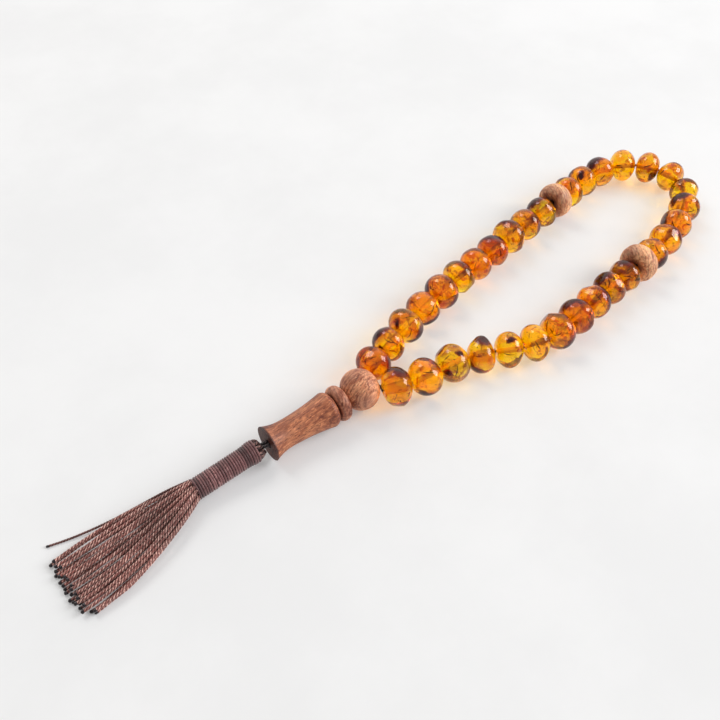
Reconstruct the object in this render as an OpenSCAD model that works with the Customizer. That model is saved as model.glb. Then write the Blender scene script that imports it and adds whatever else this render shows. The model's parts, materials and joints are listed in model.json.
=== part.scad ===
// Misbaha: a string of 33 amber beads with two wooden dividers, a turned wooden
// imam and a corded tassel, lying on a table.  X runs from the tassel to the far
// end of the loop, Z is up, and the table is z = 0.

/* [Amber beads] */
// Diameter of the hole through each bead
bead_bore_d = 2; // [1.8:0.1:2.2]
// Play between neighbouring beads
bead_gap = 0.3; // [0.25:0.05:0.35]

/* [Dividers] */
// Diameter of the two wooden dividers
divider_d = 11.4; // [10.6:0.2:11.8]
// Thickness of the two wooden dividers
divider_l = 5.4; // [5:0.2:5.6]
// Radius of a divider's rounded rim
divider_rim_r = 2; // [1:0.2:2.4]
// Depth of the dish in a divider's two faces
divider_dish = 0.5; // [0.2:0.1:0.7]

/* [Cord] */
// Diameter of the cord that the beads run on
cord_d = 0.7; // [0.6:0.1:0.8]

/* [Imam] */
// Diameter of the hole through the three turned pieces, which takes the cord twice
imam_bore_d = 2.4; // [2.2:0.1:2.6]
// Diameter of the round bead
round_d = 11; // [10.6:0.1:11.2]
// Length of the round bead along the cord
round_l = 9.6; // [9:0.1:9.6]
// Diameter of the thin disc
disc_d = 9.6; // [9:0.1:10]
// Thickness of the thin disc
disc_l = 3.2; // [2.6:0.1:3.2]
// Radius of the disc's rounded rim
disc_rim_r = 1.4; // [0.8:0.1:1.4]
// Length of the baluster
baluster_l = 19.2; // [16:0.2:19.2]
// Diameter of the baluster's shoulder
shoulder_d = 9.5; // [9:0.1:10]
// Diameter of the baluster's waist
waist_d = 7.2; // [6.4:0.1:8]
// Diameter of the baluster's flared foot
foot_d = 9.4; // [8.6:0.1:9.8]

/* [Tassel] */
// Diameter over the binding thread
binding_d = 5.6; // [5.4:0.1:5.8]
// Turns of the binding thread
binding_turns = 27; // [20:1:27]
// Diameter of a skirt strand
strand_d = 0.8; // [0.7:0.05:0.8]
// Length of the skirt from the binding to the longest tip
skirt_l = 36.5; // [32:0.5:38]
// Width of the skirt at its tips
skirt_w = 17.5; // [16:0.5:18]

/* [Hidden] */
fa_curve = 64;
cord_sides = 8;

// ---- frame: the origin is under the middle of the loop and the imam ----
imam_at = [-45, -6.5];

// ---- the row of beads ----
// Diameter and length of each amber bead, in order from the imam round the loop
amber = [
    [9.8, 7.4], [9.8, 7.6], [10.4, 7.8], [10, 8.2], [10.4, 8.2], [10.2, 7.2],
    [9.8, 7.8], [9.8, 7.6], [10.6, 7.8], [9.8, 7.8], [9.8, 7.8],
    [10, 7.6], [9.8, 7.4], [9.6, 7.8], [10.2, 7.2], [10, 6.8], [9.6, 6.8],
    [9, 7.2], [9.6, 8.2], [9.6, 8.4], [9.8, 8.2], [9.8, 7.8],
    [9.6, 7], [9.8, 7], [10, 7.8], [10.4, 8], [10.8, 7.4], [10.4, 6.8],
    [10, 7], [10.4, 7.4], [10.6, 8], [10.4, 8], [10.8, 7]
];
group_size = 11;
row_start = 0.2;
// Middle of the cord's way round the loop, seen from above, from the imam's mouth
route = [
    [4.8, 3.6], [7.6, 5.7], [16.5, 8.6], [31.5, 13.3], [47, 16.7], [63, 19.6], [79, 22.6],
    [94, 24.9], [107, 27.2], [117.5, 28.2], [125.5, 25.6], [131.5, 19.6],
    [134, 12.8], [132.8, 5.9], [127.6, 0.6], [115.5, -4.8], [106, -8.2],
    [92.5, -10.2], [79, -11.8], [66, -14], [55, -15.5], [47, -15],
    [40, -12.2], [33, -8.8], [25, -7], [16, -6.5], [8.6, -5.8], [4.6, -3.8], [0, 0]
];
route_steps = 12;

// ---- the imam, along -X from the middle of its round bead ----
disc_x = -6.7;
baluster_x = -8.6;
waist_share = 0.73;
shoulder_r = 1.7;
mouth_d = 5;
mouth_depth = 1.4;
strand_apart = 0.9;

// ---- the neck and the tassel ----
neck_from = [-28.1, 0, 4.75];
crown_at = [-29.6, 0.3, 4.65];
rim_at = [-48.2, 0.1, 3.05];
crown_l = 2.8;
crown_tip_r = 1.5;
crown_hole_r = 0.95;
core_r = 2.2;
knot_d = 2.6;
knot_l = 2;

// ---- the skirt: strands stand in seven columns at the binding and fan out ----
columns = [2, 5, 6, 5, 6, 5, 2];
strand_pitch = 0.88;
strand_rings = 16;
tips_y = -4.9;
left_bulge = 1;
stray_d = 0.6;
stray_route = [
    [-48.3, 2.6, 4.5], [-54, 4, 3.7], [-60, 5, 2.5], [-66, 6, 1.3],
    [-72, 6.9, 0.6], [-78, 7.8, 0.32], [-83, 8.6, 0.32]
];

amber_colours = ["#e07a12", "#d9541a", "#f0a020", "#b8401c", "#e89018"];
rosewood = "#9a5a3c";
palewood = "#b07858";
black_cord = "#201818";
brown_cord = "#6e4440";

// ================= the loop's route =================
function reach(p, i) = i < 0 ? 2 * p[0] - p[1]
    : i >= len(p) ? 2 * p[len(p) - 1] - p[len(p) - 2]
    : p[i];
function smooth(p, i, t) =
    let (a = reach(p, i - 1), b = reach(p, i), c = reach(p, i + 1), d = reach(p, i + 2))
    0.5 * (2 * b + (c - a) * t + (2 * a - 5 * b + 4 * c - d) * t * t
        + (3 * b - a - 3 * c + d) * t * t * t);
way = [
    for (i = [0 : len(route) - 2], k = [0 : route_steps - 1])
        smooth(route, i, k / route_steps)
];
way_s = [
    for (i = 0, s = 0; i < len(way);
        s = s + (i + 1 < len(way) ? norm(way[i + 1] - way[i]) : 0), i = i + 1) s
];
way_x = [for (i = [0 : len(way) - 1]) [way_s[i], way[i][0]]];
way_y = [for (i = [0 : len(way) - 1]) [way_s[i], way[i][1]]];
function at(s) = [lookup(s, way_x), lookup(s, way_y)];
function heading(a, b) = atan2(b[1] - a[1], b[0] - a[0]);
function turned(a) = abs(((a + 540) % 360) - 180);

// ================= the beads on it =================
divider = [divider_d, divider_l, divider_rim_r];
function is_divider(k) = (k + 1) % (group_size + 1) == 0;
function amber_number(k) = k - floor((k + 1) / (group_size + 1));
// [diameter, length, rim radius] of the piece at place k in the row
function piece(k) = is_divider(k) ? divider
    : let (b = amber[amber_number(k)]) [b[0], b[1], b[1] / 2];
row_n = len(amber) + 2;
// Half the cord's turn where a piece of length l meets its neighbour
function lean(s, l) = turned(heading(at(s), at(s + l)) - heading(at(s - l), at(s))) / 2;
// From a piece's middle to its neighbour, which leans on it by twice this angle
function room(p, angle) =
    (p[2] + bead_gap / 2) / cos(angle) + (p[0] / 2 - p[2]) * tan(angle) + p[1] / 2 - p[2];
// How much of the cord a piece takes, with the same room at both ends
function takes(k, s) =
    let (p = piece(k), long = p[1] + 2 * bead_gap, near = lean(s, long),
        far = lean(s + long, long), bend = max(0.01, (near + far) / 2))
    2 * room(p, max(near, far)) * bend * PI / 180 / sin(bend);
stops = [
    for (k = 0, s = row_start; k <= row_n; s = s + (k < row_n ? takes(k, s) : 0), k = k + 1) s
];
function stop_z(k) = k == 0 ? piece(0)[0] / 2
    : k == row_n ? piece(row_n - 1)[0] / 2
    : (piece(k - 1)[0] + piece(k)[0]) / 4;
knuckles = [for (k = [0 : row_n]) let (p = at(stops[k])) [p[0], p[1], stop_z(k)]];
function piece_at(k) =
    let (m = (knuckles[k] + knuckles[k + 1]) / 2) [m[0], m[1], piece(k)[0] / 2];
function piece_turn(k) = heading(knuckles[k], knuckles[k + 1]);

// ================= shapes =================
// A bead's half outline: radius along x, the cord along y
module bead_outline(d, l, rim, bore) {
    intersection() {
        union() {
            translate([0, -l / 2]) square([d / 2 - rim, l]);
            if (l / 2 - rim > 0.001) translate([0, rim - l / 2]) square([d / 2, l - 2 * rim]);
            for (side = [-1, 1])
                translate([d / 2 - rim, side * (l / 2 - rim)]) circle(rim, $fn = fa_curve);
        }
        translate([bore / 2, -l]) square([d, 2 * l]);
    }
}

// Turns a shape that stands along Z so that it lies along X
module along_x() {
    rotate([0, 90, 0]) children();
}

module bead(d, l, rim, bore) {
    along_x() rotate_extrude($fn = fa_curve) bead_outline(d, l, rim, bore);
}

// A disc with a shallow spherical dish in both faces
module divider_disc() {
    dish_w = divider_d / 2 - divider_rim_r + 0.6;
    dish_r = (dish_w * dish_w + divider_dish * divider_dish) / (2 * divider_dish);
    along_x() rotate_extrude($fn = fa_curve) difference() {
        bead_outline(divider_d, divider_l, divider_rim_r, bead_bore_d);
        intersection() {
            for (side = [-1, 1])
                translate([0, side * (divider_l / 2 + dish_r - divider_dish)])
                    circle(dish_r, $fn = 4 * fa_curve);
            translate([0, -divider_l]) square([divider_d, 2 * divider_l]);
        }
    }
}

module row_piece(k) {
    p = piece(k);
    translate(piece_at(k)) rotate([0, 0, piece_turn(k)])
        if (is_divider(k)) divider_disc();
        else bead(p[0], p[1], p[2], bead_bore_d);
}

// A round cord swept along points, none of which is straight above its neighbour
module cord(points, d) {
    n = len(points);
    m = cord_sides;
    rings = [
        for (i = [0 : n - 1])
            let (before = points[max(i - 1, 0)], after = points[min(i + 1, n - 1)],
                ahead = (after - before) / norm(after - before),
                level = cross(ahead, [0, 0, 1]), side = level / norm(level),
                up = cross(side, ahead))
            for (j = [0 : m - 1])
                points[i] + d / 2 * (cos(360 * j / m) * side + sin(360 * j / m) * up)
    ];
    walls = [
        for (i = [0 : n - 2], j = [0 : m - 1])
            let (a = i * m + j, b = i * m + (j + 1) % m)
            each [[a, a + m, b], [b, a + m, b + m]]
    ];
    ends = [
        [for (j = [0 : m - 1]) j],
        [for (j = [m - 1 : -1 : 0]) (n - 1) * m + j]
    ];
    polyhedron(points = rings, faces = concat(walls, ends), convexity = 4);
}

// ================= the cord through everything =================
half_apart = strand_apart / 2;
// One side's way from the neck through the imam to its mouth; side is 1 or -1
function imam_way(side) = [
    [-27.2, side * half_apart, 4.75],
    [-18, side * half_apart, 4.8],
    [-8.6, side * half_apart, 4.9],
    [-4, side * half_apart, 5.1],
    [3.4, side * half_apart, 5.2],
    [4.6, side * 1, 5.3],
    [4.95, side * 2.2, 5.3]
];
loop_way = concat(
    imam_way(1),
    knuckles,
    [for (i = [6 : -1 : 0]) imam_way(-1)[i]]
);

module loop_cord() {
    color(black_cord) cord(loop_way, cord_d);
}

// ================= the imam =================
module imam_round_bead() {
    color(rosewood) translate([0, 0, round_d / 2]) along_x() rotate_extrude($fn = fa_curve)
        difference() {
            bead_outline(round_d, round_l, round_l / 2, imam_bore_d);
            translate([0, round_l / 2 - mouth_depth])
                polygon([
                    [0, 0], [imam_bore_d / 2, 0], [mouth_d / 2, mouth_depth + 0.1],
                    [0, mouth_depth + 0.1]
                ]);
        }
}

module imam_disc() {
    color(rosewood) translate([disc_x, 0, disc_d / 2])
        bead(disc_d, disc_l, disc_rim_r, imam_bore_d);
}

// The hollow between shoulder and foot is two arcs that meet at the waist
module baluster_outline() {
    waist_y = baluster_l * waist_share;
    foot_rise = (foot_d - waist_d) / 2;
    foot_run = baluster_l - waist_y;
    foot_arc = (foot_run * foot_run + foot_rise * foot_rise) / (2 * foot_rise);
    top_rise = (shoulder_d - waist_d) / 2;
    top_run = waist_y - shoulder_r;
    top_arc = (top_run * top_run + top_rise * top_rise) / (2 * top_rise);
    wide = max(shoulder_d, foot_d) / 2;
    difference() {
        union() {
            square([shoulder_d / 2 - shoulder_r, baluster_l]);
            translate([0, shoulder_r]) square([wide, baluster_l - shoulder_r]);
            translate([shoulder_d / 2 - shoulder_r, shoulder_r])
                circle(shoulder_r, $fn = fa_curve);
        }
        intersection() {
            translate([waist_d / 2 + foot_arc, waist_y]) circle(foot_arc, $fn = 2 * fa_curve);
            translate([0, waist_y]) square([2 * wide, 2 * foot_run]);
        }
        intersection() {
            translate([waist_d / 2 + top_arc, waist_y]) circle(top_arc, $fn = 4 * fa_curve);
            translate([0, shoulder_r]) square([2 * wide, top_run]);
        }
        translate([-wide, -1]) square([wide + imam_bore_d / 2, baluster_l + 2]);
    }
}

module imam_baluster() {
    color(rosewood) translate([baluster_x, 0, shoulder_d / 2]) rotate([0, -90, 0])
        rotate_extrude($fn = fa_curve) baluster_outline();
}

// ================= the tassel =================
head_way = rim_at - crown_at;
head_l = norm(head_way);
head_turn = atan2(head_way[1], head_way[0]);
head_dip = atan2(-head_way[2], norm([head_way[0], head_way[1]]));
binding_l = head_l - crown_l;

// Stands a shape on the crown's tip, its own Z running down the tassel's head
module on_head(z = 0) {
    translate(crown_at) rotate([0, 90 + head_dip, head_turn]) translate([0, 0, z]) children();
}

module neck_cords() {
    color(black_cord) for (side = [-1, 1])
        cord([
            neck_from + [0, side * half_apart, 0],
            (neck_from + crown_at) / 2 + [0, side * half_apart, 0],
            crown_at + [-0.1, side * half_apart, 0]
        ], cord_d);
}

// The strands folded over the cord's knot: a hollow dome
module tassel_crown() {
    dome_r = binding_d / 2 - 0.3;
    color(brown_cord) on_head() rotate_extrude($fn = fa_curve)
        difference() {
            union() {
                square([crown_tip_r, crown_l]);
                translate([crown_tip_r, dome_r - crown_tip_r])
                    circle(dome_r - crown_tip_r, $fn = fa_curve);
                translate([0, dome_r - crown_tip_r])
                    square([dome_r, crown_l - dome_r + crown_tip_r]);
            }
            translate([-dome_r, -1]) square([dome_r + crown_hole_r, crown_l + 2]);
            translate([-dome_r, 0.5]) square([dome_r + knot_d / 2 + 0.1, crown_l]);
        }
}

module end_knot() {
    color(black_cord) on_head(0.6 + knot_l / 2) rotate_extrude($fn = fa_curve)
        intersection() {
            translate([knot_d / 2 - knot_l / 2, 0]) circle(knot_l / 2, $fn = fa_curve);
            translate([0, -knot_l]) square([knot_d, 2 * knot_l]);
        }
}

// The gathered strands under the binding
module tassel_core() {
    color(brown_cord) on_head(crown_l) cylinder(r = core_r, h = binding_l, $fn = fa_curve);
}

module binding_thread() {
    pitch = binding_l / binding_turns;
    thread_r = 0.55 * pitch;
    color(brown_cord) on_head(crown_l) rotate_extrude($fn = fa_curve)
        union() {
            translate([core_r, 0]) square([binding_d / 2 - thread_r - core_r, binding_l]);
            intersection() {
                for (k = [0 : binding_turns - 1])
                    translate([binding_d / 2 - thread_r, (k + 0.5) * pitch])
                        circle(thread_r, $fn = 24);
                translate([core_r, 0]) square([binding_d, binding_l]);
            }
        }
}

// ---- skirt ----
column_tips = (skirt_w - strand_d) / 5.33;
function column_y(c) = abs(c) < 3 ? c * column_tips
    : sign(c) * (2.5 * column_tips + column_tips / 6);
function lower_n(n) = ceil(n / 2);
// Where a strand sits across its column's layer at the tips: -1, -1/2, 0, 1/2 or 1
function layer_place(n, j) =
    let (m = lower_n(n), upper = j >= m, of = upper ? n - m : m, i = upper ? j - m : j)
    i - (of - 1) / 2;
function strand_point(c, j, t) =
    let (n = columns[c + 3], m = lower_n(n), k = 7 * c + 3 * j,
        long = skirt_l - 1 - 0.9 * sin(97 * k) - (c < -1 ? 0.9 * (-1 - c) : 0),
        u = t * long / skirt_l,
        from = [rim_at[0] - 0.35, rim_at[1] + c * strand_pitch * sin(60),
            rim_at[2] + (j - (n - 1) / 2) * strand_pitch],
        to = [rim_at[0] - skirt_l, tips_y + column_y(c) + layer_place(n, j) * column_tips / 3,
            strand_d / 2 + (j < m ? 0 : strand_pitch)],
        out = 1 - (1 - u) * (1 - u),
        down = u * u * (3 - 2 * u))
    [from[0] + (to[0] - from[0]) * u,
        from[1] + (to[1] - from[1]) * out + left_bulge * max(c, 0) / 3 * sin(180 * u),
        from[2] + (to[2] - from[2]) * down];

module strands(c) {
    color(brown_cord) for (j = [0 : columns[c + 3] - 1])
        cord([for (i = [0 : strand_rings - 1]) strand_point(c, j, i / (strand_rings - 1))],
            strand_d);
}

module stray_strand() {
    color(brown_cord) cord(stray_route, stray_d);
}

// ================= nodes =================
function two_digits(n) = str(n < 10 ? "0" : "", n);
function piece_name(k) = is_divider(k) ? str("divider_", floor((k + 1) / (group_size + 1)))
    : str("bead_", two_digits(amber_number(k) + 1));
function strands_name(c) = str("skirt_strands_", c + 4);

translate([imam_at[0], imam_at[1], 0]) {
    loop_cord();
    for (k = [0 : row_n - 1])
        color(is_divider(k) ? palewood : amber_colours[k % len(amber_colours)]) row_piece(k);
    imam_round_bead();
    imam_disc();
    imam_baluster();
    neck_cords();
    tassel_crown();
    end_knot();
    tassel_core();
    binding_thread();
    for (c = [-3 : 3])
        strands(c);
    stray_strand();
}
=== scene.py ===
"""The looks of the misbaha: tumbled amber-resin beads, turned wood and a corded tassel."""

import json
import math
import random

import bpy
import numpy as np
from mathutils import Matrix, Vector, noise
from mathutils.bvhtree import BVHTree


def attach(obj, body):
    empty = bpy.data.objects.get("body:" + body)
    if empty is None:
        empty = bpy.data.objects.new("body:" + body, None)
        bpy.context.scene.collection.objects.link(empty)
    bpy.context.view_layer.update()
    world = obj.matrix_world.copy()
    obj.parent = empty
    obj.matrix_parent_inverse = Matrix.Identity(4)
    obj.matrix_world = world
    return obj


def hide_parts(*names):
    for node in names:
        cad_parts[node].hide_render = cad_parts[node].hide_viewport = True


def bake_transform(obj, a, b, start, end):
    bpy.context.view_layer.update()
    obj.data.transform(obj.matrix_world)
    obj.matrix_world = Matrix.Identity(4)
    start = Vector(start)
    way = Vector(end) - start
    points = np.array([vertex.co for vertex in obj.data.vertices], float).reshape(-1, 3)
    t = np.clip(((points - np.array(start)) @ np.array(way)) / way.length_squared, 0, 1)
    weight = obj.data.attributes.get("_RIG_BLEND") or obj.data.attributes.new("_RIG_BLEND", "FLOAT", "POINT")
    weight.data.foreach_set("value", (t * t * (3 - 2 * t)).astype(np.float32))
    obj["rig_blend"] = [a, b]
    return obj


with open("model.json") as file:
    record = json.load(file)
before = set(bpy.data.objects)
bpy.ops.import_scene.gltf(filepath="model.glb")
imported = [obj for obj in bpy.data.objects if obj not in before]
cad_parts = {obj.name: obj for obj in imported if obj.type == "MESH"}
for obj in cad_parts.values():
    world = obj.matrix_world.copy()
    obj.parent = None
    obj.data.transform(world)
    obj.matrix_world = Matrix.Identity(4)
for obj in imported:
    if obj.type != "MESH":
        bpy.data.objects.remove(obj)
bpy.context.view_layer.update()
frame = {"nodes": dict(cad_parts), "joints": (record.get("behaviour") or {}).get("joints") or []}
scene = bpy.context.scene
MM = 0.001

# ---------------------------------------------------------------- camera
AZIMUTH, ELEVATION = math.radians(-36.5), math.radians(48.66)
LOOK_AT = Vector((-36.1, 5.4, 0)) * MM
CAMERA_DISTANCE = 244.1 * MM

TOWARDS_CAMERA = Vector((
    math.sin(AZIMUTH) * math.cos(ELEVATION),
    -math.cos(AZIMUTH) * math.cos(ELEVATION),
    math.sin(ELEVATION),
))
VIEW_RIGHT = Vector((math.cos(AZIMUTH), math.sin(AZIMUTH), 0))
VIEW_UP = TOWARDS_CAMERA.cross(VIEW_RIGHT)

camera = bpy.data.objects.new("camera", bpy.data.cameras.new("camera"))
camera.data.lens = 45
camera.data.sensor_width = 36
camera.data.clip_start = 0.01
camera.location = LOOK_AT + TOWARDS_CAMERA * CAMERA_DISTANCE
camera.rotation_euler = (-TOWARDS_CAMERA).to_track_quat("-Z", "Y").to_euler()
scene.collection.objects.link(camera)
scene.camera = camera


# ---------------------------------------------------------------- node helpers
def new_material(name):
    """An empty material, its node tree and its output."""
    material = bpy.data.materials.new(name)
    material.use_nodes = True
    tree = material.node_tree
    tree.nodes.clear()
    return material, tree, tree.nodes.new("ShaderNodeOutputMaterial")


def add(tree, kind, inputs=None, **settings):
    """A node with its settings, its plain input values and its links."""
    made = tree.nodes.new("ShaderNode" + kind)
    for key, value in settings.items():
        setattr(made, key, value)
    for key, value in (inputs or {}).items():
        if isinstance(value, bpy.types.NodeSocket):
            tree.links.new(value, made.inputs[key])
        else:
            made.inputs[key].default_value = value
    return made


def math_node(tree, operation, a, b=0.0):
    return add(tree, "Math", {0: a, 1: b}, operation=operation).outputs[0]


def mix_rgb(tree, factor, a, b, blend_type="MIX"):
    made = add(tree, "Mix", {0: factor, 6: a, 7: b}, data_type="RGBA", blend_type=blend_type)
    return made.outputs[2]


def ramp(tree, value, low, high):
    """A smooth step from 0 at low to 1 at high; low may be the larger of the two."""
    inputs = {"Value": value, "From Min": low, "From Max": high}
    return add(tree, "MapRange", inputs, interpolation_type="SMOOTHSTEP").outputs[0]


def seen_in_part(tree, share, shader):
    """A shader that shows by a share and is clear otherwise."""
    clear = add(tree, "BsdfTransparent")
    made = add(tree, "MixShader", {0: share, 1: clear.outputs[0], 2: shader.outputs[0]})
    return made.outputs[0]


def rgb(r, g, b):
    """A colour picked as 0-255 screen values, as the linear one that shaders take."""
    linear = [((c / 255 + 0.055) / 1.055) ** 2.4 if c > 10 else c / 255 / 12.92 for c in (r, g, b)]
    return (*linear, 1)


# ---------------------------------------------------------------- mesh helpers
def make_piece(name, verts, faces, materials, smooth=True):
    mesh = bpy.data.meshes.new(name)
    mesh.from_pydata([tuple(v) for v in verts], [], [tuple(int(i) for i in f) for f in faces])
    mesh.validate()
    if smooth:
        mesh.shade_smooth()
    for material in materials:
        mesh.materials.append(material)
    piece = bpy.data.objects.new(name, mesh)
    scene.collection.objects.link(piece)
    return piece


def grid_faces(rows, columns):
    """Quads of a tube: rows rings of columns points, each ring closed."""
    i, j = np.meshgrid(np.arange(rows - 1), np.arange(columns), indexing="ij")
    a = i * columns + j
    b = i * columns + (j + 1) % columns
    return [tuple(f) for f in np.stack([a, b, b + columns, a + columns], -1).reshape(-1, 4)]


def bored_faces(rows, columns):
    """Quads of a bored bead: a tube whose last ring also joins its first."""
    last = (rows - 1) * columns
    return grid_faces(rows, columns) + [
        (last + j, last + (j + 1) % columns, (j + 1) % columns, j) for j in range(columns)
    ]


def unit(v):
    return v / np.linalg.norm(v, axis=-1, keepdims=True)


def way_along(path):
    """How far along path each of its points is."""
    return np.concatenate([[0], np.cumsum(np.linalg.norm(np.diff(path, axis=0), axis=1))])


def tube(path, radius, sides, up=(0, 0, 1), ply=None):
    """Verts, faces and crest value of a cord along path, with closed ends.

    ply is (strands, pitch, depth) of a laid cord, whose outline turns along its way.
    """
    path = np.asarray(path, float)
    rows = len(path)
    ahead = unit(np.gradient(path, axis=0))
    side = unit(np.cross(ahead, np.asarray(up, float)))
    over = np.cross(side, ahead)
    radii = np.broadcast_to(np.asarray(radius, float), (rows,))[:, None]
    turn = np.linspace(0, 2 * math.pi, sides, endpoint=False)[None, :]
    crest = np.ones((rows, sides))
    if ply:
        strands, pitch, depth = ply
        way = way_along(path)[:, None]
        crest = np.abs(np.cos(strands / 2 * (turn - 2 * math.pi * way / pitch)))
        radii = radii * (1 - depth + depth * crest)
    rings = path[:, None, :] + radii[..., None] * (
        np.cos(turn)[..., None] * side[:, None, :] + np.sin(turn)[..., None] * over[:, None, :]
    )
    faces = grid_faces(rows, sides)
    faces.append(tuple(range(sides))[::-1])
    faces.append(tuple(range((rows - 1) * sides, rows * sides)))
    return rings.reshape(-1, 3), faces, crest.reshape(-1)


def smooth_line(points, count):
    """count points at even steps along a Catmull-Rom curve through points."""
    p = np.asarray(points, float)
    p = np.vstack([2 * p[0] - p[1], p, 2 * p[-1] - p[-2]])
    fine = []
    for i in range(1, len(p) - 2):
        a, b, c, d = p[i - 1 : i + 3]
        for t in np.linspace(0, 1, 40, endpoint=False):
            fine.append(0.5 * (
                2 * b + (c - a) * t + (2 * a - 5 * b + 4 * c - d) * t * t
                + (3 * b - a - 3 * c + d) * t ** 3
            ))
    fine.append(p[-2])
    return evenly(np.array(fine), count)


def line_length(path):
    return float(np.linalg.norm(np.diff(path, axis=0), axis=1).sum())


def evenly(path, count):
    """count points at even steps along path."""
    way = way_along(path)
    at = np.linspace(0, way[-1], count)
    return np.stack([np.interp(at, way, path[:, k]) for k in range(3)], -1)


def store_crest(piece, values):
    """The crest value of each point, which its material reads.

    It is a cord's height, a turn's tone, or how deep a point lies in or over a flake.
    """
    held = piece.data.attributes
    attribute = held.get("crest") or held.new("crest", "FLOAT", "POINT")
    attribute.data.foreach_set("value", np.asarray(values, np.float32))


# ---------------------------------------------------------------- cord materials
def cord_material(name, base, worn_crest_and_painted_highlight_colour, dark, roughness=0.6):
    """Twisted cord: painted shade in its grooves, crests lighter by wear and painted highlight, and fine
    fibre flecks.
    """
    material, tree, out = new_material(name)
    place = add(tree, "TexCoord").outputs["Object"]
    crest = add(tree, "Attribute", attribute_name="crest").outputs["Fac"]
    fibre = add(tree, "TexNoise", {"Vector": place, "Scale": 1600.0, "Detail": 3.0})
    patchy = add(tree, "TexNoise", {"Vector": place, "Scale": 160.0, "Detail": 2.0})
    worn = math_node(tree, "MULTIPLY", ramp(tree, crest, 0.55, 1.0),
                     ramp(tree, fibre.outputs[0], 0.42, 0.62))
    # Painted shade: low crest values take the dark colour, in the grooves between a laid cord's plies; on
    # the binding the crest is a turn's own tone
    colour = mix_rgb(tree, ramp(tree, crest, 0.15, 0.7), dark, base)
    # Worn crests lighten, partly wear and partly painted highlight
    colour = mix_rgb(tree, worn, colour, worn_crest_and_painted_highlight_colour)
    shade = mix_rgb(tree, ramp(tree, patchy.outputs[0], 0.3, 0.7), (0.72, 0.7, 0.7, 1),
                    (1.12, 1.08, 1.08, 1))
    colour = mix_rgb(tree, 1.0, colour, shade, "MULTIPLY")
    bump = add(tree, "Bump", {"Height": fibre.outputs[0], "Strength": 0.5, "Distance": 0.00006})
    surface = add(tree, "BsdfPrincipled", {
        "Base Color": colour, "Roughness": roughness, "Sheen Weight": 0.25,
        "Sheen Roughness": 0.5, "Normal": bump.outputs[0], "Specular IOR Level": 0.35,
    })
    tree.links.new(surface.outputs[0], out.inputs["Surface"])
    return material


skirt_cord = cord_material("brown_laid_cord", rgb(146, 88, 79), rgb(248, 206, 190),
                           rgb(38, 18, 18))
# The loose strand's cord is the skirt's cord painted darker: painted shade
shaded_stray_cord = cord_material("brown_stray_cord", rgb(104, 62, 57), rgb(176, 130, 118),
                           rgb(40, 20, 20))
crown_cord = cord_material("crown_cord", rgb(104, 70, 66), rgb(190, 146, 134),
                           rgb(30, 17, 18), 0.5)
binding_cord = cord_material("binding_cord", rgb(118, 77, 77), rgb(178, 130, 126),
                             rgb(40, 22, 24), 0.45)
black_cord = cord_material("black_waxed_cord", rgb(42, 33, 34), rgb(92, 76, 76),
                           rgb(14, 11, 12), 0.35)
sealed_tip = cord_material("sealed_cord_tip", rgb(34, 24, 28), rgb(64, 48, 54),
                           rgb(14, 10, 13), 0.3)

# ---------------------------------------------------------------- the skirt's strands
IMAM_AT = np.array([-45, -6.5, 0])
RIM_AT = np.array([-48.2, 0.1, 3.05])
CROWN_AT = np.array([-29.6, 0.3, 4.65])
COLUMNS = [2, 5, 6, 5, 6, 5, 2]
STRAND_D = 0.8
STRAND_PITCH = 0.88
SKIRT_L = 36.5
SKIRT_W = 17.5
TIPS_Y = -4.9
LEFT_BULGE = 1.0
COLUMN_TIPS = (SKIRT_W - STRAND_D) / 5.33
STRAND_STEPS = 230
STRAND_SIDES = 9
TIP_L = 0.9 * MM
PLY = (3, 2.7, 0.3)


def column_y(c):
    return c * COLUMN_TIPS if abs(c) < 3 else math.copysign(2.5 + 1 / 6, c) * COLUMN_TIPS


def strand_line(c, j, t):
    """The way of strand j of column c, as the CAD solids run: millimetres from the imam."""
    n = COLUMNS[c + 3]
    m = math.ceil(n / 2)
    layer_n, i = (n - m, j - m) if j >= m else (m, j)
    place = i - (layer_n - 1) / 2
    early = 0.9 * (-1 - c) if c < -1 else 0
    long = SKIRT_L - 1 - 0.9 * math.sin(math.radians(97 * (7 * c + 3 * j))) - early
    u = t * long / SKIRT_L
    start = RIM_AT + [-0.35, c * STRAND_PITCH * math.sin(math.radians(60)),
                      (j - (n - 1) / 2) * STRAND_PITCH]
    end = np.array([RIM_AT[0] - SKIRT_L, TIPS_Y + column_y(c) + place * COLUMN_TIPS / 3,
                    STRAND_D / 2 + (STRAND_PITCH if j >= m else 0)])
    out = 1 - (1 - u) ** 2
    down = u * u * (3 - 2 * u)
    bulge = LEFT_BULGE * max(c, 0) / 3 * np.sin(math.pi * u)
    return np.stack([
        start[0] + (end[0] - start[0]) * u,
        start[1] + (end[1] - start[1]) * out + bulge,
        start[2] + (end[2] - start[2]) * down,
    ], -1)


def ripple(t, chance, reach):
    """A small loose wave along a strand, still at the binding."""
    a, b = chance.uniform(0, 6.3), chance.uniform(0, 6.3)
    turns, more = chance.uniform(1.1, 1.9), chance.uniform(2.6, 4)
    wave = 0.7 * np.sin(turns * 6.28 * t + a) + 0.3 * np.sin(more * 6.28 * t + b)
    return reach * np.minimum(1, 3 * t) * wave


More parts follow.
